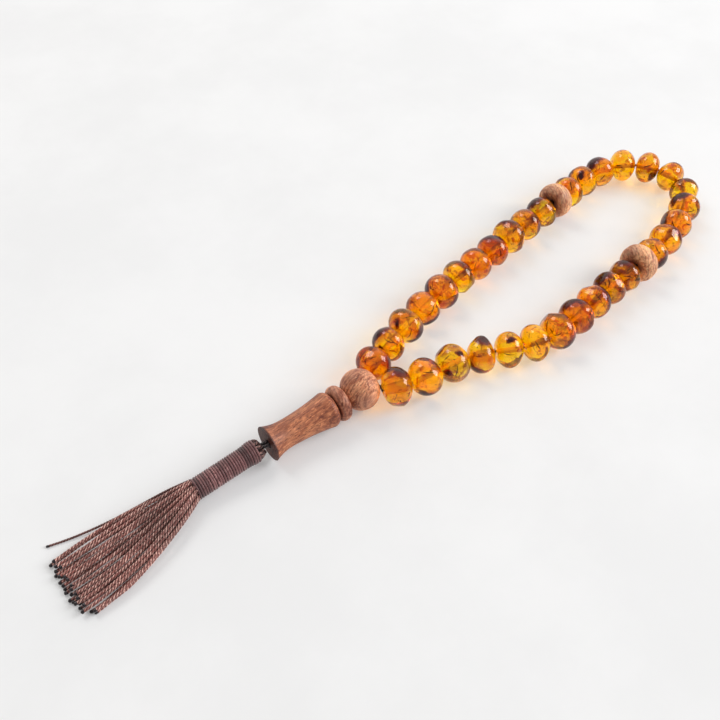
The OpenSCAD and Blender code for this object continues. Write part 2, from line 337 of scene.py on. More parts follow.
def strand_piece(name, path, diameter, node, material, share=1.0):
    """A laid cord along path (metres) that ends in a sealed tip."""
    rows = len(path)
    way = np.linspace(0, line_length(path), rows)
    left = way[-1] - way
    radius = diameter / 2 * share * np.ones(rows)
    swell = np.clip(1 - left / TIP_L, 0, 1)
    radius *= 1 + 0.16 * np.sin(math.pi * swell)
    radius *= np.sqrt(np.clip(left / (0.32 * diameter) + 0.12, 0, 1))
    radius *= np.clip(0.88 + way / (2 * diameter), 0, 1)
    strands, pitch, depth = PLY
    ply = (strands, pitch * MM * diameter / (STRAND_D * MM), depth)
    verts, faces, crest = tube(path, radius, STRAND_SIDES, ply=ply)
    piece = make_piece(name, verts, faces, [material, sealed_tip])
    store_crest(piece, crest)
    first = int(np.searchsorted(-left, -TIP_L)) * STRAND_SIDES
    index = np.zeros(len(piece.data.polygons), np.int32)
    index[first:] = 1
    index[-2] = 0  # the end in the binding isn't sealed
    piece.data.polygons.foreach_set("material_index", index)
    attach(piece, "tassel")
    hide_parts(node)
    return piece


chance = random.Random(33)
for c in range(-3, 4):
    for j in range(COLUMNS[c + 3]):
        t = np.linspace(0, 1, STRAND_STEPS)
        line = strand_line(c, j, t)
        line[:, 1] += ripple(t, chance, 0.16)
        line[:, 2] += np.abs(ripple(t, chance, 0.10))
        line = evenly((line + IMAM_AT) * MM, STRAND_STEPS)
        strand_piece(f"skirt_strand_{c + 4}_{j + 1}", line, STRAND_D * MM,
                     f"skirt_strands_{c + 4}", skirt_cord, share=1.06)

STRAY_D = 0.6
STRAY_ROUTE = [
    [-48.3, 2.1, 4.6], [-54, 3.1, 4.1], [-60, 4.1, 2.9], [-66, 5.1, 1.6],
    [-72, 6.2, 0.7], [-78, 7.4, 0.32], [-83, 8.6, 0.32],
]
stray_line = smooth_line((np.array(STRAY_ROUTE) + IMAM_AT) * MM, STRAND_STEPS)
strand_piece("loose_strand", stray_line, STRAY_D * MM, "stray_strand", shaded_stray_cord)

# ---------------------------------------------------------------- the tassel's head
HEAD_AXIS = unit(RIM_AT - CROWN_AT)
HEAD_L = float(np.linalg.norm(RIM_AT - CROWN_AT))
HEAD_SIDE = unit(np.cross(HEAD_AXIS, [0, 0, 1]))
HEAD_UP = np.cross(HEAD_SIDE, HEAD_AXIS)
BINDING_FROM = 1.5
BINDING_TO = HEAD_L + 0.25
BINDING_R = 2.8
SHOULDER = 0.3
BINDING_TURNS = 27
THREAD_SIDES = 9
HEAD_CORD_SIDES = 12
HEAD_CORD_PITCH = 2.4 * MM
FOLD_R = 0.5 * MM
NECK_R = 0.46 * MM


def on_head(z, r, angle):
    """A point at z down the head, r off its axis; arrays go in, metres come out."""
    z, r, angle = np.broadcast_arrays(z, r, angle)
    round_it = (np.cos(angle)[..., None] * HEAD_SIDE + np.sin(angle)[..., None] * HEAD_UP)
    return (IMAM_AT + CROWN_AT + z[..., None] * HEAD_AXIS + r[..., None] * round_it) * MM


def join_tubes(name, parts, materials):
    """One piece from several tubes' verts, faces and crests."""
    verts, faces, crests, start = [], [], [], 0
    for v, f, k in parts:
        verts.append(v)
        crests.append(k)
        faces += [tuple(i + start for i in face) for face in f]
        start += len(v)
    piece = make_piece(name, np.vstack(verts), faces, materials)
    store_crest(piece, np.concatenate(crests))
    return piece


chance = random.Random(7)
thread_pitch = (BINDING_TO - BINDING_FROM) / BINDING_TURNS
thread_r = 0.5 * thread_pitch
steps = np.linspace(0, BINDING_TURNS - 0.02, BINDING_TURNS * 60)
knots = np.array([chance.uniform(-1, 1) for _ in range(BINDING_TURNS + 2)])
uneven = np.interp(steps, np.arange(BINDING_TURNS + 2) - 0.5, knots)
down = BINDING_FROM + thread_r + steps * thread_pitch * 0.985 + 0.07 * uneven
shoulder = SHOULDER * np.exp(-((down - 2.6) / 1.5) ** 2)
thread = on_head(down, BINDING_R - thread_r - 0.02 + 0.04 * np.abs(uneven) + shoulder,
                 2 * math.pi * steps)
binding = join_tubes("binding_thread_wound",
                     [tube(thread, thread_r * 0.93 * MM, THREAD_SIDES, up=HEAD_AXIS)],
                     [binding_cord])
turn_tone = 0.35 + 0.65 * np.interp(steps, np.arange(BINDING_TURNS + 2),
                                    [chance.random() for _ in range(BINDING_TURNS + 2)])
store_crest(binding, np.repeat(turn_tone, THREAD_SIDES))
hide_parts("binding_thread")
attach(binding, "tassel")

# The folded strands that show above the binding: loops over the crown into its mouth
FOLDS = 13
parts = []
for k in range(FOLDS):
    angle = 2 * math.pi * (k + chance.uniform(-0.12, 0.12)) / FOLDS
    lean = chance.uniform(-0.6, 0.6)
    top = chance.uniform(-0.4, 0.3)
    bend = smooth_line(on_head(
        np.array([3.4, 2.2, 1.3, 0.62 + top, 0.5, 0.95, 1.7]),
        np.array([1.9, 2.1, 2.25, 1.95, 1.4, 0.95, 0.75]),
        angle + lean * np.array([0, 0.2, 0.5, 0.8, 1, 1.1, 1.2]),
    ), 60)
    parts.append(tube(bend, FOLD_R, HEAD_CORD_SIDES, up=HEAD_AXIS + 0.01,
                      ply=(3, HEAD_CORD_PITCH, 0.2)))
crown = join_tubes("crown_folds", parts, [crown_cord])
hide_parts("tassel_crown")
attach(crown, "tassel")

# The bare cords between the baluster and the crown
NECK_FROM = np.array([-28.1, 0, 4.75])
parts = []
for y, z in ((0.55, 0.2), (-0.55, 0.25), (0.05, -0.45)):
    a = np.array([-25.8, y, 4.75 + z])
    b = NECK_FROM + [0, y, z]
    c = CROWN_AT + [-0.3, 0.8 * y, 0.8 * z]
    d = CROWN_AT + [-1.9, 0.5 * y, 0.5 * z]
    line = smooth_line((np.array([a, b, c, d]) + IMAM_AT) * MM, 50)
    parts.append(tube(line, NECK_R, HEAD_CORD_SIDES, ply=(3, HEAD_CORD_PITCH, 0.08)))
neck = join_tubes("neck_cord_run", parts, [black_cord])
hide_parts("neck_cords")
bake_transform(neck, "cord", "neck", start=(IMAM_AT + [-27.4, 0, 4.75]) * MM,
         end=(IMAM_AT + [-29.2, 0, 4.75]) * MM)


# ---------------------------------------------------------------- amber beads
def amber_material(name, red, specks, seed, radius):
    """Clear amber resin of one bead.

    red goes from 0, yellow, to 1, orange-red; specks from 0, clean, to 1, smoky.
    """
    material, tree, out = new_material(name)
    place = add(tree, "TexCoord").outputs["Object"]
    scaled = add(tree, "VectorMath", {0: place, 3: 1 / radius}, operation="SCALE").outputs[0]
    shifted = add(tree, "VectorMath", {0: scaled, 1: (seed * 3.7, seed * 1.3, -seed * 2.1)},
                  operation="ADD").outputs[0]
    swirl = add(tree, "TexNoise", {"Vector": shifted, "Scale": 1.2, "Detail": 2.0,
                                   "Distortion": 0.9})
    tone = ramp(tree, swirl.outputs[0], 0.50 - 0.30 * red, 0.64 - 0.30 * red)
    colour = mix_rgb(tree, tone, (1.0, 0.80, 0.008, 1), (1.0, 0.46, 0.005, 1))
    veil = add(tree, "TexNoise", {"Vector": shifted, "Scale": 1.5, "Detail": 3.0,
                                  "Distortion": 1.4})
    deep = ramp(tree, veil.outputs[0], 0.60 - 0.15 * red, 0.69 - 0.15 * red)
    colour = mix_rgb(tree, deep, colour, (0.56, 0.10, 0.004, 1))

    # Smoky reddish clouds
    cloud = add(tree, "TexNoise", {"Vector": shifted, "Scale": 1.9, "Detail": 3.0,
                                   "Roughness": 0.6, "Distortion": 1.2})
    smoke = ramp(tree, cloud.outputs[0], 0.57 - 0.04 * specks, 0.66 - 0.04 * specks)
    colour = mix_rgb(tree, math_node(tree, "MULTIPLY", smoke, 0.85), colour,
                     (0.20, 0.03, 0.006, 1))

    # Thin brown veins, only in part of the bead
    vein_noise = add(tree, "TexNoise", {"Vector": shifted, "Scale": 2.3, "Detail": 3.0,
                                        "Distortion": 1.6})
    from_mid = math_node(tree, "ABSOLUTE", math_node(tree, "SUBTRACT", vein_noise.outputs[0],
                                                     0.5))
    vein = ramp(tree, from_mid, 0.024, 0.004)
    vein = math_node(tree, "MULTIPLY", vein, ramp(tree, swirl.outputs[0], 0.5, 0.6))
    colour = mix_rgb(tree, math_node(tree, "MULTIPLY", vein, 0.15 + 0.55 * specks), colour,
                     (0.12, 0.02, 0.01, 1))

    # Over its flakes the skin is darker and mirrors the room more coldly
    over = add(tree, "Attribute", attribute_name="crest").outputs["Fac"]
    colour = mix_rgb(tree, math_node(tree, "MULTIPLY", over, 0.85), colour,
                     (0.30, 0.05, 0.06, 1))
    # The resin also glows faintly by emission in its own colour squared, painted light that lifts its
    # brightness; over its flakes it doesn't glow
    painted_glow = mix_rgb(tree, 1.0, colour, colour, "MULTIPLY")
    painted_glow = mix_rgb(tree, over, painted_glow, (0, 0, 0, 1))
    gleam = mix_rgb(tree, over, (1.0, 0.82, 0.68, 1), (0.84, 0.58, 0.66, 1))
    surface = add(tree, "BsdfPrincipled", {
        "Base Color": colour, "Roughness": 0.07, "IOR": 1.54, "Transmission Weight": 0.98,
        "Specular Tint": gleam, "Emission Color": painted_glow, "Emission Strength": 0.02,
    })

    # Lamps shine through the resin and warm the table beside it
    passing = add(tree, "BsdfTransparent", {
        "Color": (0.93, 0.87 - 0.08 * red, 0.78 - 0.14 * red, 1),
    })
    for_lamps = add(tree, "LightPath").outputs["Is Shadow Ray"]
    lit = add(tree, "MixShader", {0: for_lamps, 1: surface.outputs[0], 2: passing.outputs[0]})
    tree.links.new(lit.outputs[0], out.inputs["Surface"])
    absorb = add(tree, "VolumeAbsorption", {
        "Color": (1.0 - 0.06 * red, 0.78 - 0.14 * red, 0.1, 1), "Density": 120.0,
    })
    tree.links.new(absorb.outputs[0], out.inputs["Volume"])
    return material


def flake_material(name, heart, edge):
    """Dark plant flakes inside the resin, ragged and reddish towards their edges."""
    material, tree, out = new_material(name)
    place = add(tree, "TexCoord").outputs["Object"]
    depth = add(tree, "Attribute", attribute_name="crest").outputs["Fac"]
    rag = add(tree, "TexNoise", {"Vector": place, "Scale": 900.0, "Detail": 4.0,
                                 "Roughness": 0.6})
    level = math_node(tree, "ADD", depth, math_node(tree, "MULTIPLY", rag.outputs[0], 0.7))
    colour = mix_rgb(tree, ramp(tree, level, 0.6, 1.0), edge, heart)
    solid = add(tree, "BsdfPrincipled", {"Base Color": colour, "Roughness": 0.5})
    tree.links.new(seen_in_part(tree, ramp(tree, level, 0.36, 0.62), solid),
                   out.inputs["Surface"])
    return material


purple_flake = flake_material("purple_brown_flake", rgb(48, 12, 30), rgb(120, 36, 16))
red_flake = flake_material("red_brown_flake", rgb(90, 26, 10), rgb(180, 66, 8))

# Golden crack discs inside the resin
spangle_material, tree, out = new_material("golden_spangle")
place = add(tree, "TexCoord").outputs["Object"]
facets = add(tree, "TexNoise", {"Vector": place, "Scale": 700.0, "Detail": 3.0})
gold = add(tree, "BsdfPrincipled", {
    "Base Color": (0.55, 0.24, 0.02, 1), "Metallic": 0.8, "Roughness": 0.5,
})
shown = math_node(tree, "MULTIPLY", ramp(tree, facets.outputs[0], 0.46, 0.64), 0.45)
tree.links.new(seen_in_part(tree, shown, gold), out.inputs["Surface"])

# The drilled bore is matt and dusty, so it hides the cord by this share and shows as a
# soft band. Lamps shine through it.
HIDING = 0.75
bore_skin, tree, out = new_material("drilled_bore")
dust = add(tree, "BsdfDiffuse", {"Color": (1.0, 0.55, 0.06, 1)})
for_lamps = add(tree, "LightPath").outputs["Is Shadow Ray"]
hiding = math_node(tree, "MULTIPLY_ADD", for_lamps, -HIDING)
hiding.node.inputs[2].default_value = HIDING
tree.links.new(seen_in_part(tree, hiding, dust), out.inputs["Surface"])

# Each bead as the camera sees it: how red, how speckled, its dark flakes as
# (right, up, near, size), and its own shape as (right, up, near, how much narrower)
BEADS = {
    "bead_01": (0.76, 0, [(0.95, 0.0, 0.3, 0.3)], []),
    "bead_02": (0.28, 0.2, [(-0.7, 0.6, 0.3, 0.42), (-0.45, -0.5, 0.7, 0.12)],
                [(0.3, -0.8, 0, 0.12)]),
    "bead_03": (0.15, 0.2, [(0.75, -0.5, 0.3, 0.3), (-0.55, 0.1, 0.8, 0.06)],
                [(-0.6, 0.6, 0, 0.1)]),
    "bead_04": (0.42, 0.1, [(0.55, -0.8, 0.2, 0.3)], []),
    "bead_05": (0.72, 1, [(-0.8, 0.3, 0.2, 0.2), (0.7, -0.5, 0.2, 0.2)], []),
    "bead_06": (0.05, 0.4, [(0.4, 0.85, 0.2, 0.42)], [(0.6, -0.5, 0, 0.1)]),
    "bead_07": (0.68, 0, [], []),
    "bead_08": (0.72, 0.5, [(0, 0.85, 0.4, 0.42)], []),
    "bead_09": (0.22, 0.8, [(0, 0.95, 0.2, 0.4)], []),
    "bead_10": (0.25, 0.6, [(0.95, 0.1, 0.2, 0.38)], []),
    "bead_11": (0.1, 0.4, [(-0.6, 0.75, 0.3, 0.48)], [(0.8, -0.5, 0, 0.15)]),
    "bead_12": (0.14, 0.3, [(-0.2, 0.95, 0.1, 0.2)], []),
    "bead_13": (0, 0.4, [(-0.3, 0.25, 0.9, 0.08), (-0.8, 0.5, 0, 0.2)], []),
    "bead_14": (0.5, 0.2, [(-0.6, 0.65, 0.4, 0.46)], []),
    "bead_15": (0.2, 0, [(0.9, -0.2, 0.1, 0.1)], [(0, -1, 0, 0.12)]),
    "bead_16": (0.42, 0.2, [(0.45, -0.75, 0.4, 0.26)], [(-0.3, -0.9, 0, 0.1)]),
    "bead_17": (0.3, 0, [(0.9, 0.3, 0, 0.12)], []),
    "bead_18": (0.04, 0.2, [(-0.1, 0.95, 0.2, 0.42)], []),
    "bead_19": (0.3, 0.3, [(-0.5, 0.75, 0.4, 0.38)], []),
    "bead_20": (0.28, 0.4, [(-0.9, 0.2, 0.2, 0.25)], []),
    "bead_21": (0.4, 0.3, [(0.8, 0.5, 0.3, 0.4)], []),
    "bead_22": (0.27, 0.4, [(0.6, -0.6, 0.5, 0.32)], []),
    "bead_23": (0.35, 0.5, [(0, 0.9, 0.4, 0.34)], []),
    "bead_24": (0.5, 0.4, [(-0.6, 0.7, 0.4, 0.4)], []),
    "bead_25": (0.45, 0.5, [(0.75, 0.3, 0.5, 0.38)], []),
    "bead_26": (0.95, 0.6, [(-0.2, 0.9, 0.3, 0.46)], []),
    "bead_27": (0.35, 0.9, [(0.75, -0.55, 0.3, 0.3)], []),
    "bead_28": (0.08, 0.3, [(0.9, 0.1, 0.2, 0.32)], [(0, -0.9, 0, 0.12)]),
    "bead_29": (0.1, 0.1, [(0, 0.55, 0.85, 0.05)], [(0, -0.9, 0, 0.08)]),
    "bead_30": (0.08, 0.1, [(0.3, 0.9, 0.3, 0.36), (-0.5, -0.8, 0.3, 0.28)],
                [(0.1, 1, 0, 0.3)]),
    "bead_31": (0, 0.4, [(0.3, 0.5, 0.8, 0.04), (-0.7, 0.7, 0.1, 0.15),
                           (-0.35, -0.6, 0.8, 0.06)], []),
    "bead_32": (0.2, 0.1, [(0, 1, 0.05, 0.16), (0.6, 0.7, 0.4, 0.12),
                            (0.1, -0.95, 0.2, 0.22)], []),
    "bead_33": (0.25, 0.1, [(0.1, 0.9, 0.35, 0.4)], [(0, -1, 0, 0.12)]),
}

# Beads whose own number gives them a facet that mirrors a lamp
OWN_SEEDS = {16: 66, 24: 84, 25: 75, 27: 87}

# A bead's ends swell to half the gap to the next bead, less CLEAR, and by no more than
# MOST_LIP. The two beads at the sharpest bend nearly touch already.
CLEAR = 0.14 * MM
MOST_LIP = 0.38 * MM
NEAREST = {"bead_17", "bead_18"}
# A lip fades out this far from the bore, as a share of the bead's radius. Along the bead
# it grows from the middle and is full at this share of the half length.
LIP_REACH = 0.6
LIP_FULL = 0.9

# A bore is as wide as the cord strays in it, NARROWEST at least, and PLAY more, but never
# wider than the CAD's
NARROWEST = 0.38 * MM
PLAY = 0.06 * MM

# The slots of a bead's materials
RESIN, PURPLE, BORE, RED, GOLD = range(5)
FLATS = 4

PROFILE_STEPS = 30
ROUND_STEPS = 56
joint_of = {j["child"]: j for j in frame["joints"]}
cord_points = np.array([v.co for v in frame["nodes"]["loop_cord"].data.vertices])


def about(points, centre, axis):
    """How far points lie along and off an axis."""
    points = points - centre
    along = points @ axis
    return along, np.linalg.norm(points - along[:, None] * axis, axis=1)


def bead_frame(node):
    """Centre, axis, outer radius, length and bore radius of a bead of the CAD part."""
    joint = joint_of[node]
    centre, axis = np.array(joint["pos_m"]), np.array(joint["axis"])
    along, off = about(np.array([v.co for v in frame["nodes"][node].data.vertices]),
                       centre, axis)
    cord_along, cord_off = about(cord_points, centre, axis)
    inside = (np.abs(cord_along) < along.max() + 1.2 * MM) & (cord_off < 2 * MM)
    bore = min(off.min(), max(NARROWEST, cord_off[inside].max(initial=0)) + PLAY)
    return centre, axis, off.max(), along.max() - along.min(), bore


ROW = ["imam_round_bead", *BEADS, "imam_round_bead"]
ROW.insert(23, "divider_2")
ROW.insert(12, "divider_1")


def seen_way(right, up, near):
    """A direction given as the camera sees it."""
    return np.array(VIEW_RIGHT * right + VIEW_UP * up + TOWARDS_CAMERA * near)


def lips(node):
    """How far a bead's low and high ends swell towards its neighbours on the cord."""
    centre, axis, _, length, _ = bead_frame(node)
    found = [0.0, 0.0]
    at = ROW.index(node)
    for other in (ROW[at - 1], ROW[at + 1]):
        if {node, other} == NEAREST:
            continue
        there, _, _, other_length, _ = bead_frame(other)
        gap = np.linalg.norm(there - centre) - (length + other_length) / 2
        found[int((there - centre) @ axis > 0)] = float(np.clip(gap / 2 - CLEAR, 0, MOST_LIP))
    return found


def shaped(points, outer, cuts, tapers, seed):
    """Points of a turned bead moved inwards to a tumbled nugget's form."""
    moved = points.copy()
    for way, reach, share in cuts:
        past = np.clip(moved @ way - reach, 0, None)
        moved -= share * past[:, None] * way
    for way, narrower in tapers:
        share = np.clip((moved @ way) / outer, -1, 1) * 0.5 + 0.5
        straight = (moved @ way)[:, None] * way
        moved = straight + (moved - straight) * (1 - narrower * share[:, None] ** 1.5)
    for i, p in enumerate(moved):
        lump = noise.noise(Vector(p / outer * 1.1) + Vector((seed * 9.1, 0, 0)))
        moved[i] = p * (0.985 + 0.03 * min(0.5, lump))
    return moved


def skin_point(surface, ray):
    """Where the bead's skin is met from outside along a direction."""
    hit = surface.ray_cast(Vector(ray) * 0.03, Vector(-ray))[0]
    return np.array(hit) if hit else ray * 4 * MM


def flake(surface, way, angle, long, seed):
    """A ragged sheet just under the skin around a direction: verts, faces and depth.

    angle is its angular radius and long how much longer it is along the bead's outline
    than across.
    """
    own = random.Random(seed)
    way = unit(np.array(way))
    side = unit(np.cross(way, np.array(TOWARDS_CAMERA) + 0.05))
    up = np.cross(side, way)
    phase = [own.uniform(0, 6.3) for _ in range(4)]
    rings, spokes = 6, 22
    verts, depth = [], []
    for i in range(rings + 1):
        for j in range(spokes):
            a = 2 * math.pi * j / spokes
            rag = (1 + 0.20 * math.sin(2 * a + phase[0]) + 0.14 * math.sin(3 * a + phase[1])
                   + 0.10 * math.sin(5 * a + phase[2]) + 0.06 * math.sin(9 * a + phase[3]))
            r = angle * rag * i / rings
            x, y = r * math.cos(a) * long, r * math.sin(a) / long
            ray = unit(way * math.cos(math.hypot(x, y)) + (side * x + up * y)
                       * (math.sin(math.hypot(x, y)) / max(1e-6, math.hypot(x, y))))
            under = 0.955 - 0.03 * math.sin(3 * a + phase[1]) * i / rings
            verts.append(skin_point(surface, ray) * under)
            depth.append(1 - i / rings)
    return verts, grid_faces(rings + 1, spokes), depth


def speck(place, size, own):
    """One tiny bent flake inside the resin."""
    u = unit(np.array([own.gauss(0, 1) for _ in range(3)]))
    v = unit(np.cross(u, [own.gauss(0, 1) for _ in range(3)]))
    spokes = 7
    verts = [place]
    for j in range(spokes):
        a = 2 * math.pi * j / spokes
        r = size * own.uniform(0.6, 1.3)
        verts.append(place + u * r * math.cos(a) + v * r * 0.5 * math.sin(a))
    faces = [(0, 1 + j, 1 + (j + 1) % spokes) for j in range(spokes)]
    return verts, faces, [1.0] + [0.45] * spokes


def thread_line(surface, own):
    """A thin dark thread that curves under the skin on the side seen from above."""
    start = unit(np.array(TOWARDS_CAMERA) + [own.gauss(0, 0.55) for _ in range(3)])
    ahead = unit(np.cross(start, [own.gauss(0, 1) for _ in range(3)]))
    width, span = own.uniform(0.05, 0.13) * MM, own.uniform(0.35, 0.95)
    share, bend = own.uniform(0.72, 0.93), own.uniform(-0.35, 0.35)
    verts, depth, steps = [], [], 12
    for i in range(steps):
        t = span * (i / (steps - 1) - 0.5)
        ray = unit(start * math.cos(t) + ahead * math.sin(t)
                   + np.cross(start, ahead) * bend * t * t * 2)
        across = unit(np.cross(ray, ahead))
        place = skin_point(surface, ray) * share
        wide = width * (0.3 + math.sin(math.pi * i / (steps - 1)))
        verts += [place + across * wide, place - across * wide]
        depth += [0.75 * math.sin(math.pi * (i + 0.5) / steps) + 0.1] * 2
    return verts, [(2 * i, 2 * i + 1, 2 * i + 3, 2 * i + 2) for i in range(steps - 1)], depth


def spangle(place, size, own):
    """A shallow round crack inside the resin."""
    facing = unit(np.array(TOWARDS_CAMERA) + [own.gauss(0, 0.6) for _ in range(3)])
    u = unit(np.cross(facing, [0.2, 0.3, 1]))
    v = np.cross(facing, u)
    spokes, rings = 18, 3
    verts = []
    for i in range(rings + 1):
        for j in range(spokes):
            a = 2 * math.pi * j / spokes
            r = size * i / rings * (1 + 0.08 * math.sin(3 * a + size * 9e3))
            verts.append(place + u * r * math.cos(a) + v * r * math.sin(a)
                         - facing * 0.25 * r * i / rings)
    return verts, grid_faces(rings + 1, spokes), [0.0] * len(verts)


def nugget(node, patches, specks, shape, seed):
    """A bored, tumbled bead with its flakes, about its own centre.

    The CAD form is the turned stock: the nugget stays inside it, apart from its lips.
    """
    centre, axis, outer, length, bore = bead_frame(node)
    side = unit(np.cross([0, 0, 1], axis))
    up = np.cross(axis, side)
    rim = length / 2
    mouth = max(outer - rim, bore + 0.15 * MM)
    outline = [(bore, 0), (bore, -rim * 0.5), (bore, -rim * 0.93), (bore + 0.03 * MM, -rim * 0.985)]
    for a in np.linspace(-math.pi / 2, math.pi / 2, PROFILE_STEPS):
        outline.append((mouth + (outer - mouth) * math.cos(a), rim * math.sin(a)))
    outline += [(bore + 0.03 * MM, rim * 0.985), (bore, rim * 0.93), (bore, rim * 0.5)]
    low, high = lips(node)
    for i, (r, x) in enumerate(outline):
        share = max(0.0, 1 - ((r - bore) / (LIP_REACH * outer)) ** 2)
        share *= min(1.0, abs(x) / (LIP_FULL * rim))
        outline[i] = (r, x + share * (high if x > 0 else -low))
    turn = np.linspace(0, 2 * math.pi, ROUND_STEPS, endpoint=False)
    rings = np.array([
        x * axis + r * (np.cos(a) * side + np.sin(a) * up) for r, x in outline for a in turn
    ])
    own = random.Random(seed)
    cuts = []
    while len(cuts) < FLATS:
        way = unit(np.array([own.gauss(0, 1) for _ in range(3)]))
        if abs(way @ axis) < 0.6:
            cuts.append((way, (rings @ way).max() * own.uniform(0.88, 0.97), 0.7))
    tapers = [(unit(seen_way(*way)), narrower) for *way, narrower in shape]
    moved = shaped(rings, outer, cuts, tapers, seed)
    bored = about(rings, np.zeros(3), axis)[1] < bore + 0.05 * MM
    verts = [tuple(v) for v in np.where(bored[:, None], rings, moved)]
    faces = bored_faces(len(outline), ROUND_STEPS)
    slots = [BORE if bored[list(f)].all() else RESIN for f in faces]
    surface = BVHTree.FromPolygons(verts, faces)
    over = np.zeros(len(verts))
    for right, near_up, near, size in patches:
        way = unit(seen_way(right, near_up, near))
        angle = np.arccos(np.clip(unit(np.array(verts)) @ way, -1, 1)) / math.acos(1 - size)
        over = np.maximum(over, np.clip((0.95 - angle) / 0.3, 0, 1))
    crest = [float(k) for k in over * ~bored]

    def include(part, slot):
        part_verts, part_faces, depth = part
        start = len(verts)
        verts.extend(tuple(v) for v in part_verts)
        faces.extend(tuple(i + start for i in f) for f in part_faces)
        slots.extend([slot] * len(part_faces))
        crest.extend(depth)

    for _ in range(1 + round(3 * specks)):
        include(thread_line(surface, own), PURPLE)
    # A bead with no dark patch near the top of its outline as the camera sees it gets a small dark sheet
    # there, which darkens its upper rim
    if not any(near_up > 0.6 for _, near_up, _, _ in patches):
        patches = patches + [(own.uniform(-0.5, 0.5), 0.95, -0.05, 0.16)]
    for i, (right, near_up, near, size) in enumerate(patches):
        way = seen_way(right, near_up, near)
        angle = 0.82 * math.acos(1 - size)
        include(flake(surface, way, angle, own.uniform(1.1, 1.5), seed * 10 + i),
                PURPLE if own.random() < 0.7 or size > 0.3 else RED)
    for _ in range(int(4 + 60 * specks)):
        ray = unit(np.array([own.gauss(0, 1) for _ in range(3)]))
        share = own.uniform(0.55, 0.93)
        if specks > 0.25 and own.random() < 0.07:
            include(spangle(skin_point(surface, ray) * 0.6, own.uniform(0.8, 1.6) * MM, own),
                    GOLD)
        include(speck(skin_point(surface, ray) * share, own.uniform(0.08, 0.34) * MM, own),
                PURPLE if own.random() < 0.5 else RED)
    return centre, verts, faces, slots, crest, outer


for number, (node, (red, specks, patches, shape)) in enumerate(BEADS.items(), start=1):
    centre, verts, faces, slots, crest, outer = nugget(node, patches, specks, shape,
                                                       OWN_SEEDS.get(number, number))
    amber = amber_material(f"amber_{number:02d}", red, specks, number, outer)
    piece = make_piece(f"amber_bead_{number:02d}", verts, faces,
                       [amber, purple_flake, bore_skin, red_flake, spangle_material])
    store_crest(piece, crest)
    piece.data.polygons.foreach_set("material_index", slots)
    piece.location = centre
    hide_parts(node)
    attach(piece, node)


